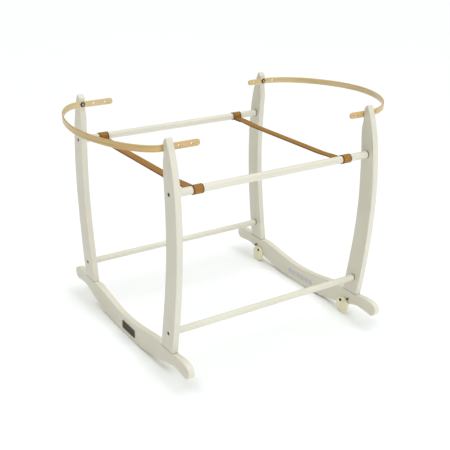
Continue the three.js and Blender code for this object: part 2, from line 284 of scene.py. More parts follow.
def carve(piece, cutters):
    """Takes the cutters, which don't overlap each other, out of a piece."""
    tool = bmesh.new()
    for cutter in cutters:
        tool.from_mesh(cutter.data)
        bpy.data.objects.remove(cutter)
    mesh = bpy.data.meshes.new("tool")
    tool.to_mesh(mesh)
    tool.free()
    holder = bpy.data.objects.new("tool", mesh)
    bpy.context.scene.collection.objects.link(holder)
    cut = piece.modifiers.new("cut", "BOOLEAN")
    cut.operation, cut.solver, cut.object = "DIFFERENCE", "EXACT", holder
    bpy.context.view_layer.update()
    depsgraph = bpy.context.evaluated_depsgraph_get()
    result = bpy.data.meshes.new_from_object(piece.evaluated_get(depsgraph))
    piece.modifiers.clear()
    result.name = piece.name
    piece.data = result
    bpy.data.objects.remove(holder)
    shape = bmesh.new()
    shape.from_mesh(result)
    bmesh.ops.remove_doubles(shape, verts=shape.verts, dist=SLIVER)
    bmesh.ops.dissolve_degenerate(shape, edges=shape.edges, dist=SLIVER)
    shape.to_mesh(result)
    shape.free()
    result.set_sharp_from_angle(angle=SHARP_ANGLE)


def finished(piece, body, slot, *nodes):
    """Even shading, and the piece's body and the CAD nodes it stands for; slot is not used."""
    if any(len(p.vertices) > 4 for p in piece.data.polygons):
        piece.modifiers.new("shading", "WEIGHTED_NORMAL").keep_sharp = True
    if nodes:
        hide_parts(*nodes)
    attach(piece, body)
    return piece


def end_of(node, direction):
    """The middle of a node's box face that looks along an axis direction, and the box's length
    along it in millimetres."""
    low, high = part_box(node)
    half = (high - low) / 2
    reach = Vector(d * h for d, h in zip(direction, half))
    return (low + high) / 2 + reach, 2 * reach.length / MM


# ---- materials -----------------------------------------------------------------------------


def material_of(name, **values):
    """A new material, its node tree and its shader, with these values on the shader's sockets."""
    material = bpy.data.materials.new(name)
    material.use_nodes = True
    tree = material.node_tree
    shader = tree.nodes["Principled BSDF"]
    for socket, value in values.items():
        shader.inputs[socket.replace("_", " ")].default_value = value
    return material, tree, shader


def node(tree, kind, inputs, **settings):
    made_node = tree.nodes.new("ShaderNode" + kind)
    for key, value in settings.items():
        setattr(made_node, key, value)
    for socket, value in inputs.items():
        if isinstance(value, bpy.types.NodeSocket):
            tree.links.new(value, made_node.inputs[socket])
        else:
            made_node.inputs[socket].default_value = value
    return made_node


def space(tree, stretch=(1, 1, 1)):
    """Object coordinates in metres, stretched."""
    source = node(tree, "TexCoord", {}).outputs["Object"]
    return node(tree, "Mapping", {"Vector": source, "Scale": stretch}).outputs["Vector"]


def strip_space(tree, stretch=(1, 1, 1)):
    """Coordinates along and across a strip, in metres, stretched."""
    source = node(tree, "UVMap", {}, uv_map="along").outputs["UV"]
    return node(tree, "Mapping", {"Vector": source, "Scale": stretch}).outputs["Vector"]


def noise(tree, vector, scale, detail=2.0, roughness=0.5, distortion=0.0):
    inputs = {"Vector": vector, "Scale": scale, "Detail": detail}
    inputs.update({"Roughness": roughness, "Distortion": distortion})
    return node(tree, "TexNoise", inputs).outputs["Fac"]


def remap(tree, value, low, high, to_low=0.0, to_high=1.0):
    inputs = {"Value": value, "From Min": low, "From Max": high, "To Min": to_low, "To Max": to_high}
    return node(tree, "MapRange", inputs).outputs["Result"]


def calc(tree, operation, a, b=0.0):
    return node(tree, "Math", {0: a, 1: b}, operation=operation).outputs[0]


def blended(tree, amount, a, b, how="MIX"):
    """Colour a, moved towards b by an amount."""
    colours = {6: a if isinstance(a, bpy.types.NodeSocket) else (*a, 1)}
    colours[7] = b if isinstance(b, bpy.types.NodeSocket) else (*b, 1)
    return node(tree, "Mix", {0: amount, **colours}, data_type="RGBA", blend_type=how).outputs[2]


def relief(tree, height, depth, strength=1.0, normal=None):
    """A bump of a depth in metres."""
    inputs = {"Height": height, "Distance": depth, "Strength": strength}
    if normal is not None:
        inputs["Normal"] = normal
    return node(tree, "Bump", inputs).outputs["Normal"]


def wire(tree, shader, **sockets):
    for socket, source in sockets.items():
        tree.links.new(source, shader.inputs[socket.replace("_", " ")])


def worn_edges(tree):
    """1 at the middle of a rounded-over edge and 0 away from it."""
    return node(tree, "Attribute", {}, attribute_name="wear").outputs["Fac"]


def joint_shade(tree):
    """How much painted shade darkens the groove where the legs stand on the rockers and the rings where
    the rails meet the legs.
    """
    split = node(tree, "SeparateXYZ", {"Vector": space(tree)})
    rise = calc(tree, "ABSOLUTE", calc(tree, "SUBTRACT", split.outputs["Z"], (SEAT + GAP / 2) * MM))
    foot_middle, foot_half = (FOOT[0] + FOOT[1]) / 2, (FOOT[1] - FOOT[0]) / 2
    from_foot = calc(tree, "SUBTRACT", calc(tree, "ABSOLUTE", split.outputs["Y"]), foot_middle * MM)
    beside = calc(tree, "ABSOLUTE", from_foot)
    in_groove = remap(tree, rise, 0.0005, 0.0013, 1, 0)
    under_leg = remap(tree, beside, foot_half * MM, (foot_half + 2) * MM, 1, 0)
    groove_shade = calc(tree, "MULTIPLY", calc(tree, "MULTIPLY", in_groove, under_leg), 0.55)
    for level in ("upper", "lower"):
        low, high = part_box(f"rail_{level}_back")
        centre, half = (low + high) / 2, (high - low) / 2
        from_middle = calc(tree, "ABSOLUTE", calc(tree, "SUBTRACT", split.outputs["X"], centre.x))
        from_end = calc(tree, "ABSOLUTE", calc(tree, "SUBTRACT", from_middle, half.x))
        from_y = calc(tree, "SUBTRACT", calc(tree, "ABSOLUTE", split.outputs["Y"]), centre.y)
        from_z = calc(tree, "SUBTRACT", split.outputs["Z"], centre.z)
        squares = calc(tree, "ADD", calc(tree, "POWER", from_y, 2), calc(tree, "POWER", from_z, 2))
        ring = remap(tree, calc(tree, "SQRT", squares), half.z - 0.0003, half.z + 0.0013, 0.9, 0)
        at_end = remap(tree, from_end, 0.0008, 0.002, 1, 0)
        groove_shade = calc(tree, "MAXIMUM", groove_shade, calc(tree, "MULTIPLY", ring, at_end))
    return groove_shade


def painted(name, along):
    """Satin white paint over fine grain that runs along one axis, thinner on the round-overs, with
    painted shade in the joints.
    """
    material, tree, shader = material_of(name, Coat_Weight=0.12, Coat_Roughness=0.3)
    fibres = tuple(0.035 if axis == along else 1.0 for axis in "XYZ")
    grain = noise(tree, space(tree, fibres), 620, 4, 0.6)
    figure = noise(tree, space(tree, fibres), 70, 3, 0.5, 0.4)
    cloud = noise(tree, space(tree), 7, 2)
    peel = noise(tree, space(tree), 420, 1)
    wear = worn_edges(tree)
    patch = remap(tree, noise(tree, space(tree), 46, 4, 0.65), 0.42, 0.72)
    worn = calc(tree, "MULTIPLY", calc(tree, "MULTIPLY", wear, patch), 0.3)
    colour = blended(tree, remap(tree, cloud, 0.3, 0.7), (0.718, 0.688, 0.580), (0.757, 0.727, 0.622))
    colour = blended(tree, remap(tree, figure, 0.45, 0.8, 0, 0.3), colour, (0.66, 0.62, 0.52))
    colour = blended(tree, remap(tree, grain, 0.56, 0.85, 0, 0.3), colour, (0.62, 0.59, 0.50))
    colour = blended(tree, worn, colour, (0.60, 0.49, 0.33))
    # Painted shade: the grooves at the legs' feet and the rings round the rail ends are darkened
    # towards dark brown.
    colour = blended(tree, joint_shade(tree), colour, (0.20, 0.165, 0.12))
    rough = remap(tree, noise(tree, space(tree), 90, 3), 0.3, 0.7, 0.34, 0.48)
    surface = relief(tree, grain, 0.00022, 0.7)
    surface = relief(tree, figure, 0.0004, 0.5, surface)
    surface = relief(tree, peel, 0.00006, 0.6, surface)
    wire(tree, shader, Base_Color=colour, Roughness=rough, Normal=surface)
    return material


def bentwood():
    """Clear-lacquered ash: straight pale and dark rings with open pores along the strip."""
    material, tree, shader = material_of("bentwood", Coat_Weight=0.35, Coat_Roughness=0.22)
    ring = noise(tree, strip_space(tree, (0.02, 1, 1)), 330, 3, 0.55, 0.6)
    band = noise(tree, strip_space(tree, (0.05, 1, 1)), 95, 2, 0.5, 0.8)
    pore = noise(tree, strip_space(tree, (0.05, 1, 1)), 1500, 3, 0.7)
    cloud = noise(tree, space(tree), 9, 3)
    wear = worn_edges(tree)
    colour = blended(tree, remap(tree, band, 0.35, 0.65), (0.62, 0.455, 0.19), (0.72, 0.565, 0.295))
    colour = blended(tree, remap(tree, ring, 0.5, 0.78, 0, 0.5), colour, (0.41, 0.265, 0.09))
    colour = blended(tree, remap(tree, pore, 0.6, 0.8, 0, 0.45), colour, (0.30, 0.17, 0.06))
    colour = blended(tree, remap(tree, cloud, 0.4, 0.7, 0, 0.25), colour, (0.70, 0.55, 0.29))
    colour = blended(tree, calc(tree, "MULTIPLY", wear, 0.22), colour, (0.78, 0.63, 0.40))
    # Painted shade: the outer face of the strip is multiplied darker and warmer.
    side = node(tree, "SeparateXYZ", {"Vector": strip_space(tree)}).outputs["Y"]
    outer = remap(tree, side, OUTER_FACE / 2 - 0.001, OUTER_FACE / 2 + 0.001)
    colour = blended(tree, outer, colour, (0.93, 0.82, 0.68), "MULTIPLY")
    rough = remap(tree, ring, 0.35, 0.7, 0.32, 0.5)
    surface = relief(tree, pore, 0.00015, 0.6)
    surface = relief(tree, ring, 0.00022, 0.6, surface)
    wire(tree, shader, Base_Color=colour, Roughness=rough, Normal=surface)
    return material


def wave_of(tree, value, pitch):
    """A smooth wave from 0 to 1 that repeats every pitch metres."""
    turns = calc(tree, "MULTIPLY", value, 2 * math.pi / pitch)
    return calc(tree, "MULTIPLY_ADD", calc(tree, "SINE", turns), 0.5)


def webbing():
    """Tan herringbone webbing: chevrons of coarse yarn between plain selvedges, darker towards both
    edges.
    """
    sheen = {"Sheen_Weight": 0.08, "Sheen_Roughness": 0.5, "Sheen_Tint": (0.8, 0.6, 0.35, 1)}
    material, tree, shader = material_of("webbing", Specular_IOR_Level=0.25, **sheen)
    split = node(tree, "SeparateXYZ", {"Vector": strip_space(tree)})
    along, across = split.outputs["X"], split.outputs["Y"]
    from_middle = calc(tree, "ABSOLUTE", across)
    chevron = calc(tree, "PINGPONG", across, 0.0048)
    twill = wave_of(tree, calc(tree, "ADD", along, chevron), 0.0021)
    yarn = wave_of(tree, across, 0.0012)
    pick = wave_of(tree, along, 0.00105)
    selvedge = remap(tree, from_middle, 0.0112, 0.0122)
    weave = calc(tree, "ADD", calc(tree, "MULTIPLY", twill, 0.7), calc(tree, "MULTIPLY", yarn, 0.3))
    plain = calc(tree, "MULTIPLY", pick, 0.8)
    surface_height = node(tree, "Mix", {0: selvedge, 2: weave, 3: plain}).outputs[0]
    fuzz = noise(tree, space(tree), 1800, 3, 0.7)
    cloud = noise(tree, strip_space(tree, (1, 0.4, 1)), 26, 3)
    # Painted shade in the weave's hollows: the lower yarn is coloured darker than the raised yarn.
    raised = remap(tree, surface_height, 0.15, 0.85)
    colour = blended(tree, raised, (0.205, 0.086, 0.018), (0.49, 0.233, 0.054))
    colour = blended(tree, remap(tree, cloud, 0.35, 0.7, 0, 0.35), colour, (0.44, 0.24, 0.06))
    # The colour darkens towards both edges of the webbing.
    at_edge = remap(tree, from_middle, 0.0095, 0.0125, 0, 0.78)
    colour = blended(tree, at_edge, colour, (0.12, 0.046, 0.012))
    colour = blended(tree, remap(tree, fuzz, 0.5, 0.8, 0, 0.2), colour, (0.52, 0.30, 0.11))
    rough = remap(tree, fuzz, 0.3, 0.7, 0.72, 0.92)
    surface = relief(tree, surface_height, 0.00045, 0.9)
    surface = relief(tree, fuzz, 0.00012, 0.6, surface)
    wire(tree, shader, Base_Color=colour, Roughness=rough, Normal=surface)
    return material


def thread():
    """Waxed sewing thread with a fine twist."""
    material, tree, shader = material_of("thread", Sheen_Weight=0.3, Sheen_Roughness=0.4)
    twist = noise(tree, space(tree), 2600, 2)
    colour = blended(tree, remap(tree, twist, 0.35, 0.65), (0.12, 0.045, 0.014), (0.24, 0.10, 0.035))
    wire(tree, shader, Base_Color=colour, Normal=relief(tree, twist, 0.0001))
    shader.inputs["Roughness"].default_value = 0.7
    return material


def cream():
    """Cream lacquer on turned wood: the lathe's rings, a little grain and scuffed rims."""
    material, tree, shader = material_of("cream_lacquer", Coat_Weight=0.3, Coat_Roughness=0.2)
    grain = noise(tree, space(tree, (1, 1, 0.06)), 520, 3, 0.6)
    cloud = noise(tree, space(tree), 30, 3)
    scuff = noise(tree, space(tree), 240, 4, 0.7)
    colour = blended(tree, remap(tree, cloud, 0.3, 0.7), (0.87, 0.81, 0.57), (0.92, 0.875, 0.67))
    colour = blended(tree, remap(tree, grain, 0.52, 0.8, 0, 0.35), colour, (0.62, 0.52, 0.31))
    colour = blended(tree, remap(tree, scuff, 0.66, 0.8, 0, 0.5), colour, (0.52, 0.43, 0.27))
    rough = remap(tree, scuff, 0.4, 0.75, 0.3, 0.5)
    surface = relief(tree, grain, 0.00018, 0.6)
    surface = relief(tree, scuff, 0.0001, 0.4, surface)
    wire(tree, shader, Base_Color=colour, Roughness=rough, Normal=surface)
    return material


def metal(name, dark, light, edge, rough_low, rough_high):
    """Plated steel with brushed scratches, small tarnished patches and edges of their own tone."""
    material, tree, shader = material_of(name, Metallic=1.0)
    scratch = noise(tree, space(tree, (1, 1, 0.08)), 2200, 3, 0.6)
    patch = noise(tree, space(tree), 190, 4, 0.6)
    colour = blended(tree, remap(tree, patch, 0.35, 0.7), dark, light)
    colour = blended(tree, remap(tree, scratch, 0.62, 0.8, 0, 0.5), colour, light)
    colour = blended(tree, calc(tree, "MULTIPLY", worn_edges(tree), 0.9), colour, edge)
    rough = remap(tree, patch, 0.3, 0.7, rough_low, rough_high)
    surface = relief(tree, scratch, 0.00006, 0.6)
    wire(tree, shader, Base_Color=colour, Roughness=rough, Normal=surface)
    return material


def beech():
    """Plain beech of the hidden dowels, with its short dark flecks."""
    material, tree, shader = material_of("beech")
    grain = noise(tree, space(tree, (1, 1, 0.05)), 700, 3)
    fleck = noise(tree, space(tree, (1, 1, 0.2)), 1400, 2)
    colour = blended(tree, remap(tree, grain, 0.35, 0.65), (0.56, 0.38, 0.20), (0.68, 0.49, 0.28))
    colour = blended(tree, remap(tree, fleck, 0.62, 0.75, 0, 0.5), colour, (0.35, 0.20, 0.09))
    rough = remap(tree, grain, 0.3, 0.7, 0.5, 0.65)
    wire(tree, shader, Base_Color=colour, Roughness=rough, Normal=relief(tree, grain, 0.0002))
    return material


def stencil_ink():
    """Thin grey ink that lets the paint's grain through."""
    material, tree, shader = material_of("stencil_ink")
    grain = noise(tree, space(tree, (1, 0.05, 1)), 620, 4, 0.6)
    thin = noise(tree, space(tree), 300, 3, 0.6)
    colour = blended(tree, remap(tree, thin, 0.35, 0.7), (0.53, 0.53, 0.56), (0.61, 0.61, 0.63))
    colour = blended(tree, remap(tree, grain, 0.52, 0.75, 0, 0.5), colour, (0.74, 0.71, 0.65))
    rough = remap(tree, thin, 0.3, 0.7, 0.45, 0.6)
    wire(tree, shader, Base_Color=colour, Roughness=rough, Normal=relief(tree, grain, 0.0002, 0.6))
    return material


def plain_floor():
    material, tree, shader = material_of("floor", Roughness=0.75, Specular_IOR_Level=0.2)
    cloud = noise(tree, space(tree), 0.7, 2)
    colour = blended(tree, cloud, (0.955, 0.965, 0.995), (0.97, 0.98, 1.0))
    wire(tree, shader, Base_Color=colour)
    return material


PAINT = {axis: painted("painted_wood_" + axis.lower(), axis) for axis in "XYZ"}
BENTWOOD = bentwood()
WEBBING = webbing()
THREAD = thread()
CREAM = cream()
BRONZE = metal("bronzed_steel", (0.032, 0.020, 0.012), (0.10, 0.066, 0.038), (0.16, 0.10, 0.05),
               0.36, 0.56)
ZINC = metal("zinc_plate", (0.36, 0.34, 0.31), (0.56, 0.54, 0.50), (0.66, 0.64, 0.60), 0.3, 0.45)
PLATE = metal("plate_bronze", (0.105, 0.071, 0.030), (0.19, 0.133, 0.062), (0.022, 0.014, 0.008),
              0.35, 0.55)
BEECH = beech()
INK = stencil_ink()

# ---- end frames ----------------------------------------------------------------------------


def board_span(node_name):
    """The x planes of a board, in millimetres."""
    low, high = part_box(node_name)
    return low.x / MM, high.x / MM


def rocker(side):
    low, high = board_span(f"rocker_{side}")
    board = plank(f"rocker_{side}_board", rocker_outline(), low, high, PAINT["Y"])
    bores = []
    for end in ("front", "back"):
        for i in (1, 2):
            foot, length = end_of(f"dowel_{end}_{side}_{i}", -Z)
            bores.append(turned("bore", rod(DOWEL_BORE, -CLEAR, length), foot, Z, None, 16))
        for kind, radius in (("disc_screw", DISC_SCREW_BORE), ("stop_pin", STOP_PIN_BORE)):
            head, length = end_of(f"{kind}_{end}_{side}", INWARD[side])
            cutter = rod(radius, -CLEAR, length + CLEAR)
            bores.append(turned("bore", cutter, head, -INWARD[side], None, 16))
    carve(board, bores)
    finished(board, "stand", "painted_wood", f"rocker_{side}")


def rod(radius, start, stop):
    """The profile of a plain cylinder between two heights."""
    return [(0, start), (radius, start), (radius, stop), (0, stop)]


def leg(side, end):
    name = f"leg_{end}_{side}"
    low, high = board_span(name)
    outline = leg_outline()
    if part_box(name)[0].y < 0:
        outline = flipped(outline)
    board = plank(name + "_board", outline, low, high, PAINT["Z"])
    bores = []
    outward = -INWARD[side]
    start, stop, flare = -4, 40, BOLT_HEAD_BORE + 0.3
    shape = [(0, start), (flare, start), (flare, -0.5), (BOLT_HEAD_BORE, -0.1)]
    shape += [(BOLT_HEAD_BORE, BOLT_HEAD_BORE_DEPTH), (BOLT_BORE, BOLT_HEAD_BORE_DEPTH)]
    shape += [(BOLT_BORE, stop), (0, stop)]
    for level in ("upper", "lower"):
        head, _ = end_of(f"rail_bolt_{level}_{end}_{side}", outward)
        bores.append(turned("bore", shape, head, -outward, None, 32))
    for i in (1, 2):
        top, length = end_of(f"dowel_{end}_{side}_{i}", Z)
        bores.append(turned("bore", rod(DOWEL_BORE, -CLEAR, length), top, -Z, None, 16))
    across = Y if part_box(name)[0].y > 0 else -Y
    tip, length = end_of(f"hoop_screw_{end}_{side}", across)
    bores.append(turned("bore", rod(HOOP_SCREW_BORE, -CLEAR, length), tip, -across, None, 16))
    carve(board, bores)
    finished(board, "stand", "painted_wood", name)


def rail(level, end):
    """Round rail with softened ends, bored at both for its inserts."""
    name = f"rail_{level}_{end}"
    start, length = end_of(name, -X)
    low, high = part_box(name)
    radius = (high.z - low.z) / 2 / MM
    tip = [(0, RAIL_BORE_DEPTH), (RAIL_BORE, RAIL_BORE_DEPTH), (RAIL_BORE, 0)]
    tip += [(radius - 2.8, 0), (radius - 1.8, 0.25), (radius - 0.9, 0.9)]
    tip += [(radius - 0.25, 2.0), (radius, 3.2)]
    steps = 24
    profile = tip + [(radius, length * k / steps) for k in range(1, steps)]
    profile += [(r, length - h) for r, h in reversed(tip)]
    finished(turned(name + "_rod", profile, start, X, PAINT["X"], 48), "stand", "painted_wood", name)


def plate():
    """Blank plate with a raised border on the left rocker's outer face."""
    low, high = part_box("name_plate")
    middle = Vector((low.y + high.y, low.z + high.z)) / 2 / MM
    size = Vector((high.y - low.y, high.z - low.z)) / 2 / MM
    border, outer_corner, inner_corner, recess = 2, 3, 1.5, 0.5
    # An arc leaves its first point out, so each corner starts this many radians early.
    lead = 0.16

    def rounded(margin, radius):
        corners = []
        reach = size - Vector((margin + radius, margin + radius))
        for k, (a, b) in enumerate(((1, -1), (1, 1), (-1, 1), (-1, -1))):
            centre = middle + Vector((a * reach.x, b * reach.y))
            arc(corners, centre, radius, (k - 1) * math.pi / 2 - lead, k * math.pi / 2, steps=8)
        return corners

    face_x, back_x = low.x / MM, high.x / MM
    piece = plank("blank_plate", rounded(0, outer_corner), face_x, back_x, PLATE, 0.35, 3)
    inner = rounded(border, inner_corner)
    field = plank("field", inner, face_x - CLEAR, face_x + recess, None, 0.3, 2)
    carve(piece, [field])
    finished(piece, "stand", "plate_bronze", "name_plate")


def stencil():
    """A plain row of lozenges in thin grey ink on the right rocker's inner face."""
    x, _ = board_span("rocker_right")
    thickness = 0.12
    shells = []
    count, pitch, middle, height = 6, 21, -7, 29
    large, small, spread, sides, squeeze = (9.4, 9.6), (3.2, 3.4), 6.6, 24, 0.16
    for k in range(2 * count - 1):
        y = middle + (k / 2 - (count - 1) / 2) * pitch
        half, rises = (large, (0,)) if k % 2 == 0 else (small, (-spread, spread))
        for rise in rises:
            corners = [Vector((math.cos(a) * half[0], math.sin(a) * half[1]))
                       for a in (math.tau * c / sides for c in range(sides))]
            squeezed = [c * (1 - squeeze * math.sin(2 * math.atan2(c.y, c.x)) ** 2) for c in corners]
            rings = []
            for depth in (thickness, 0):
                rings.append([Vector((x - depth, y + c.x, height + rise + c.y)) * MM for c in squeezed])
            shells.append(rings)
    finished(loft("stencil_row", shells, INK), "stand", "painted_wood")


# ---- fittings ------------------------------------------------------------------------------


def rail_bolt(name, outward):
    """Socket-head bolt, from the top of its head inwards."""
    head, length = end_of(name, outward)
    rim, height = BOLT_HEAD_RADIUS, 4.2
    profile = [(0, 0), (rim - 1, 0), (rim - 0.45, 0.15), (rim - 0.15, 0.5), (rim, 1)]
    profile += [(rim, height - 0.3), (rim - 0.2, height), (BOLT_RADIUS, height)]
    profile += [(BOLT_RADIUS, length - 1), (BOLT_RADIUS - 0.6, length), (0, length)]
    piece = turned(name + "_steel", profile, head, -outward, BRONZE, 40)
    socket = rod(SOCKET_RADIUS, -CLEAR, SOCKET_DEPTH)
    carve(piece, [turned("socket", socket, head, -outward, None, 6)])
    finished(piece, "stand", "bronze_steel", name)


def cross_screw(name, outward, radius, height, shank, material, slot):
    """Round-headed screw with a cross recess, from the top of its head inwards."""
    top, length = end_of(name, outward)
    steps = 7
    dome = []
    for k in range(steps + 1):
        turn = math.pi / 2 * k / steps
        dome.append((radius * math.sin(turn), (height - 0.5) * (1 - math.cos(turn))))
    profile = dome + [(radius, height - 0.15), (radius - 0.2, height), (shank, height)]
    profile += [(shank, length - 2.5), (shank * 0.5, length), (0, length)]
    piece = turned(name + "_steel", profile, top, -outward, material, 32)
    facing = outward.to_track_quat("Z", "Y").to_matrix()
    wide, narrow = radius * 0.56, radius * 0.14
    corners = []
    for k in range(4):
        quarter = Matrix.Rotation(k * math.pi / 2 + RECESS_TURN, 2)
        corners += [quarter @ Vector(c) for c in ((wide, -narrow), (wide, narrow), (narrow, narrow))]
    rings = []
    for depth, scale in ((-height * 0.62, 0.55), (CLEAR, 1.1)):
        rings.append([top + facing @ Vector((c.x * scale, c.y * scale, depth)) * MM for c in corners])
    carve(piece, [loft("recess", [rings], None)])
    finished(piece, "stand", slot, name)


def cup_washer(name, inward):
    """Cup washer between a hoop and its screw's head."""
    face, thickness = end_of(name, -inward)
    bore, rim = 2.5, 7
    profile = [(bore, 0), (rim - 0.2, 0), (rim, 0.2), (rim - 0.1, 0.6), (rim - 0.5, 1.0)]
    profile += [(5.6, 1.55), (4.9, 1.9), (4.4, thickness), (3.6, thickness), (3.1, 1.7), (bore, 1.5)]
    piece = turned(name + "_cup", profile, face, inward, BRONZE, 40, hollow=True)
    finished(piece, "stand", "bronze_steel", name)


def stop_disc(side, end):
    """Turned wooden disc with a fine line round its face, on its off-centre screw."""
    name = f"stop_disc_{end}_{side}"
    inward = INWARD[side]
    face, thickness = end_of(name, -inward)
    radius, ease = DISC_RADIUS, DISC_EASE
    line_inset, line_half, line_depth = 6.5, 0.3, 0.25
    rim = [(0, 0), (radius - ease - 0.6, 0)]
    for k in range(6):
        turn = math.pi / 2 * k / 5
        rim.append((radius - ease * (1 - math.sin(turn)), ease * (1 - math.cos(turn))))
    outer = [(r, thickness - h) for r, h in reversed(rim[1:])]
    groove = [(radius - line_inset + line_half, thickness)]
    groove += [(radius - line_inset, thickness - line_depth)]
    groove += [(radius - line_inset - line_half, thickness)]
    profile = rim + outer + groove + [(0, thickness)]
    piece = turned(name + "_wood", profile, face, inward, CREAM, 96)
    pivot, _ = end_of(f"disc_screw_{end}_{side}", inward)
    bore = Vector((face.x, pivot.y, pivot.z))
    cutter = rod(DISC_SCREW_BORE, -CLEAR, thickness + CLEAR)
    carve(piece, [turned("bore", cutter, bore, inward, None, 24)])
    finished(piece, f"{end}_{side}_disc", "disc_ivory", name)


def stop_pin(side, end):
    name = f"stop_pin_{end}_{side}"
    top, length = end_of(name, INWARD[side])
    radius = STOP_PIN_RADIUS
    profile = [(0, 0), (radius - 1.2, 0), (radius - 0.5, 0.2), (radius - 0.1, 0.65), (radius, 1.3)]
    profile += [(radius, length - 0.6), (radius - 0.4, length), (0, length)]
    piece = turned(name + "_steel", profile, top, -INWARD[side], BRONZE, 32)
    finished(piece, "stand", "bronze_steel", name)


# ---- hoops ---------------------------------------------------------------------------------


def even(line, step):
    """A line of points spaced evenly, about a step apart."""
    total = line_length(line)
    count = max(2, round(total / step))
    spaced, walked, k = [line[0]], 0.0, 0
    for i in range(1, count):
        goal = total * i / count
        while walked + (line[k + 1] - line[k]).length < goal:
            walked += (line[k + 1] - line[k]).length
            k += 1
        part = (goal - walked) / (line[k + 1] - line[k]).length
        spaced.append(line[k].lerp(line[k + 1], part))
    return spaced + [line[-1]]


def hoop(side):
    """A bentwood strip from one leg round to the other, with its row of holes at each end."""
    name = f"hoop_{side}"
    low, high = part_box(name)
    sign = -1 if side == "left" else 1
    middle_x = sum(board_span(f"leg_front_{side}")) / 2
    reach = abs((low.x if side == "left" else high.x) / MM - middle_x)
    tail = -abs((high.x if side == "left" else low.x) / MM - middle_x)
    half = HOOP_SEAT_Y - GAP - STRIP_THICKNESS / 2
    depth = reach - HOOP_LEAD - STRIP_THICKNESS / 2
    power = 2 / HOOP_ROUNDNESS
    line = [Vector((tail, half))]
    steps = 240
    for i in range(steps + 1):
        angle = math.pi * i / steps
        across = math.copysign(abs(math.cos(angle)) ** power, math.cos(angle))
        line.append(Vector((HOOP_LEAD + depth * max(0, math.sin(angle)) ** power, half * across)))
    line.append(Vector((tail, -half)))
    spaced = even(line, step=5)
    near_end = [0.25, 0.9, 1.8, 3, 4.8]
    first = [spaced[0] + Vector((d, 0)) for d in near_end]
    last = [spaced[-1] + Vector((d, 0)) for d in reversed(near_end)]
    points = [spaced[0], *first, *spaced[2:-2], *last, spaced[-1]]
    height = (low.z + high.z) / 2 / MM
    section = []
    ease = 1.1
    for k, (a, b) in enumerate(((1, -1), (1, 1), (-1, 1), (-1, -1))):
        for i in range(4):
            turn = (k - 1) * math.pi / 2 + math.pi / 2 * i / 3
            worn = math.sin(math.pi * i / 3)
            section.append((a, b, ease * math.cos(turn), ease * math.sin(turn), worn))
    rings, uv, wear = [], [], []
    walked = 0.0
    for i, p in enumerate(points):
        before, after = points[max(0, i - 1)], points[min(len(points) - 1, i + 1)]
        along = (after - before).normalized()
        normal = Vector((-along.y, along.x))
        walked += (p - before).length
        from_end = min(p.x - tail, TAIL_CORNER) if abs(p.y) > half - 1 else TAIL_CORNER
        drop = TAIL_CORNER - math.sqrt(TAIL_CORNER**2 - (TAIL_CORNER - from_end) ** 2)
        thin = 0.6 if i in (0, len(points) - 1) else 0
        tall = STRIP_HEIGHT / 2 - drop - thin
        ring = []
        for a, b, c, d, worn in section:
            out = a * (STRIP_THICKNESS / 2 - ease - thin) + c
            up = b * (tall - ease) + d
            place = p + normal * out
            ring.append(Vector((middle_x + sign * place.x, sign * place.y, height + up)) * MM)
            uv.append((walked * MM, up * MM + (OUTER_FACE if a > 0 else 0)))
            wear.append(worn)
        rings.append(ring)
    piece = loft(name + "_strip", [rings], BENTWOOD, uv=uv, wear=wear)
    bores = []
    through = 12
    for i in range(STRIP_HOLES):
        x = middle_x + sign * (tail + STRIP_END + i * STRIP_PITCH)
        for y in (-half, half):
            base = Vector((x, y - through / 2, height)) * MM
            bores.append(turned("bore", rod(STRIP_HOLE, 0, through), base, Y, None, 28))
    carve(piece, bores)
    finished(piece, f"{side}_hoop", "bentwood", name)


# ---- straps --------------------------------------------------------------------------------


def strap_path():
    """Half of a strap's middle line, in y and z from the stand's middle to the sewn end, where
    it has gone over the rail, round it and back under the band."""
    low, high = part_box("rail_upper_back")
    rail_y, rail_z = (low.y + high.y) / 2 / MM, (low.z + high.z) / 2 / MM
    wrap = (high.z - low.z) / 2 / MM + GAP + WEB_THICKNESS / 2
    turn_in = WEB_CREASE + WEB_THICKNESS / 2
    rise = -WEB_DROP + turn_in
    back = math.sqrt((wrap + turn_in) ** 2 - rise**2)
    lean = math.asin(rise / (wrap + turn_in))
    line = [Vector((0, rail_z - WEB_DROP)), Vector((rail_y - back, rail_z - WEB_DROP))]
    arc(line, (rail_y - back, rail_z + rise), turn_in, -math.pi / 2, -lean, steps=10)
    arc(line, (rail_y, rail_z), wrap, math.pi - lean, -math.pi / 2, steps=44)
    under = rail_z - WEB_DROP - WEB_THICKNESS - WEB_LAP
    settle, steps = 11, 8
    bottom = line[-1].copy()
    for i in range(1, steps + 1):
        t = i / steps
        ease = t * t * (3 - 2 * t)
        line.append(Vector((bottom.x - settle * t, bottom.y + (under - bottom.y) * ease)))
    line.append(Vector((bottom.x - settle - WEB_TAIL, under)))
    return line


def capsule(a, b, up, radius):
    """Rings of one stitch lying from a to b."""
    along = (b - a).normalized()
    side = up.cross(along)
    rings = []
    shape = ((0, 0.45, -0.8), (0.12, 0.9, 0.1), (0.5, 1, 0.45), (0.88, 0.9, 0.1), (1, 0.45, -0.8))
    for t, share, lift in shape:
        middle = a.lerp(b, t) + up * radius * lift
        ring = []
        for k in range(8):
            angle = 2 * math.pi * k / 8
            ring.append(middle + (side * math.cos(angle) + up * math.sin(angle)) * radius * share)
        rings.append(ring)
    return rings


def stitch_rows(a, b):
    """Starts and ends of the stitches between two points."""
    count = max(1, round((b - a).length / STITCH_PITCH))
    for i in range(count):
        yield a.lerp(b, (i + 0.1) / count), a.lerp(b, (i + 0.9) / count)


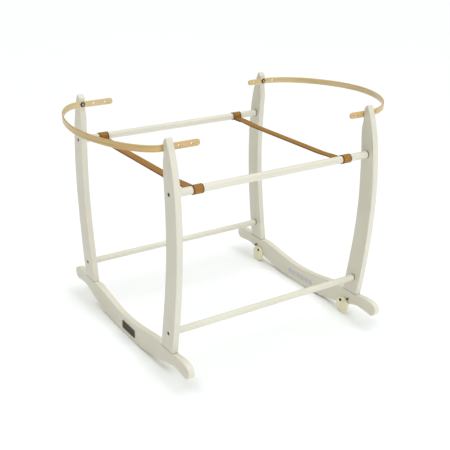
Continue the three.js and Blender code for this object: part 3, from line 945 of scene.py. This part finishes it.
def strap(side):
    """Webbing looped round both upper rails, its ends doubled back and box-stitched."""
    name = f"strap_{side}"
    low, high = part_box(name)
    x = (low.x + high.x) / 2 / MM
    half = strap_path()
    whole = [Vector((-p.x, p.y)) for p in reversed(half)] + half[1:]
    points = even(whole, 1.6)
    edge = WEB_THICKNESS / 2
    flat = WEB_WIDTH / 2 - edge
    section = []
    columns = 12
    for i in range(columns + 1):
        across = -flat + 2 * flat * i / columns
        section.append((across, -edge * thickness_share(across)))
    for i in range(1, 4):
        turn = -math.pi / 2 + math.pi * i / 4
        section.append((flat + edge * math.cos(turn), edge * math.sin(turn)))
    for i in range(columns + 1):
        across = flat - 2 * flat * i / columns
        section.append((across, edge * thickness_share(across)))
    for i in range(1, 4):
        turn = math.pi / 2 + math.pi * i / 4
        section.append((-flat + edge * math.cos(turn), edge * math.sin(turn)))
    rings, uv = [], []
    walked = 0.0
    walk_length = line_length(points)
    free_half = half[1].x - WEB_TAIL + CUP_MARGIN
    for i, p in enumerate(points):
        before, after = points[max(0, i - 1)], points[min(len(points) - 1, i + 1)]
        along = (after - before).normalized()
        normal = Vector((-along.y, along.x))
        walked += (p - before).length
        is_band = abs(walked - walk_length / 2) < half[1].x
        free = min(1, max(0, (free_half - abs(p.x)) / CUP_RUN)) if is_band else 0
        cup = WEB_CUP * free * free * (3 - 2 * free)
        rings.append([])
        for across, out in section:
            bend = 2 * cup / flat**2
            lean = bend * across
            drop = (1 - math.cos(lean)) / bend if bend > 0 else 0
            aside = math.sin(lean) / bend if bend > 0 else across
            place = p + normal * (out * math.cos(lean))
            rings[-1].append(Vector((x + aside + out * math.sin(lean), place.x, place.y - drop)) * MM)
            uv.append((walked * MM, across * MM))
    web = loft(name + "_web", [rings], WEBBING, uv=uv)
    finished(web, f"{side}_strap", "webbing", name)

    end = half[-1]
    top = half[0].y + edge
    bottom = end.y - edge
    inset_x = WEB_WIDTH / 2 - SEAM_INSET
    first, last = end.x + SEAM_INSET, end.x + WEB_TAIL - SEAM_TO_LOOP
    shells = []
    for s in (-1, 1):
        for height, up in ((top, Z), (bottom, -Z)):
            corners = [Vector((x + a * inset_x, s * y, height)) for a, y in
                       ((-1, first), (1, first), (1, last), (-1, last))]
            for i, j in ((0, 1), (1, 2), (2, 3), (3, 0), (0, 2), (1, 3)):
                for a, b in stitch_rows(corners[i], corners[j]):
                    shells.append(capsule(a * MM, b * MM, up, STITCH_RADIUS * MM))
    sewing = finished(loft(name + "_stitches", shells, THREAD), f"{side}_strap", "webbing")


def thickness_share(across):
    """Webbing is a little thinner between its selvedges than at them."""
    from_edge = WEB_WIDTH / 2 - abs(across)
    return 1 if from_edge < WEB_SELVEDGE else WEB_MIDDLE_SHARE


# ---- assembly ------------------------------------------------------------------------------
for side, inward in INWARD.items():
    rocker(side)
    for end, across in (("front", -Y), ("back", Y)):
        leg(side, end)
        stop_disc(side, end)
        stop_pin(side, end)
        cross_screw(f"disc_screw_{end}_{side}", inward, *DISC_SCREW, BRONZE, "bronze_steel")
        cross_screw(f"hoop_screw_{end}_{side}", -across, *HOOP_SCREW, ZINC, "zinc_steel")
        cup_washer(f"hoop_washer_{end}_{side}", -across)
        for level in ("upper", "lower"):
            rail_bolt(f"rail_bolt_{level}_{end}_{side}", -inward)
for level in ("upper", "lower"):
    for end in ("front", "back"):
        rail(level, end)
plate()
stencil()
for side in ("left", "right"):
    hoop(side)
    strap(side)

for name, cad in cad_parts.items():
    if name.startswith("dowel") or name.startswith("rail_insert"):
        cad.data.materials.clear()
        cad.data.materials.append(BEECH if name.startswith("dowel") else ZINC)

# ---- floor, light and camera ---------------------------------------------------------------
FLOOR_SIZE = 30
floor_mesh = bpy.data.meshes.new("floor")
corner = FLOOR_SIZE / 2
floor_mesh.from_pydata(
    [(-corner, -corner, 0), (corner, -corner, 0), (corner, corner, 0), (-corner, corner, 0)],
    [], [(0, 1, 2, 3)])
floor_mesh.materials.append(plain_floor())
floor = bpy.data.objects.new("floor", floor_mesh)
bpy.context.scene.collection.objects.link(floor)

world = bpy.data.worlds.new("studio")
world.use_nodes = True
tree = world.node_tree
fill = tree.nodes["Background"]
fill.inputs["Color"].default_value = (1.0, 0.83, 0.54, 1)
fill.inputs["Strength"].default_value = 0.2
bright = node(tree, "Background", {"Color": (1, 1, 1, 1), "Strength": 1.0}).outputs[0]
seen = node(tree, "LightPath", {}).outputs["Is Camera Ray"]
mixed = node(tree, "MixShader", {0: seen, 1: fill.outputs[0], 2: bright}).outputs[0]
tree.links.new(mixed, tree.nodes["World Output"].inputs["Surface"])
bpy.context.scene.world = world


def softbox(name, place, target, size, power, colour):
    light = bpy.data.lights.new(name, "AREA")
    light.shape, light.size, light.energy, light.color = "SQUARE", size, power, colour
    holder = bpy.data.objects.new(name, light)
    holder.location = place
    holder.rotation_mode = "QUATERNION"
    holder.rotation_quaternion = (Vector(target) - Vector(place)).to_track_quat("-Z", "Y")
    bpy.context.scene.collection.objects.link(holder)


softbox("key", (0.5, -4.0, 1.2), (0, 0, 0.3), size=1.8, power=49, colour=(0.93, 0.98, 1.05))
sky = bpy.data.lights.new("sky", "SUN")
sky.energy, sky.angle, sky.color = 2.9, math.radians(80), (0.92, 0.98, 1.0)
sky_holder = bpy.data.objects.new("sky", sky)
bpy.context.scene.collection.objects.link(sky_holder)

# The camera stands at the front left, a little above, on a line from a point near the middle.
# Angles are in radians, places in metres, and the lens and sensor in millimetres.
VIEW_AZIMUTH = -0.5776
VIEW_ELEVATION = 0.3911
VIEW_ROLL = 0.0114
VIEW_DISTANCE = 2.2
VIEW_TARGET = Vector((-0.0532, -0.0519, 0.2889))
VIEW_LENS = 62.76
VIEW_SENSOR = 36
camera_data = bpy.data.cameras.new("camera")
camera_data.sensor_width = VIEW_SENSOR
camera_data.lens = VIEW_LENS
camera = bpy.data.objects.new("camera", camera_data)
back = Vector((
    math.sin(VIEW_AZIMUTH) * math.cos(VIEW_ELEVATION),
    -math.cos(VIEW_AZIMUTH) * math.cos(VIEW_ELEVATION),
    math.sin(VIEW_ELEVATION),
))
level_right = (-back).cross(Z).normalized()
level_up = level_right.cross(-back)
right = math.cos(VIEW_ROLL) * level_right + math.sin(VIEW_ROLL) * level_up
up = math.cos(VIEW_ROLL) * level_up - math.sin(VIEW_ROLL) * level_right
camera.matrix_world = Matrix.Translation(VIEW_TARGET + back * VIEW_DISTANCE) @ Matrix(
    (right, up, back)).transposed().to_4x4()
bpy.context.scene.collection.objects.link(camera)
bpy.context.scene.camera = camera
bpy.context.scene.view_settings.view_transform = "Standard"
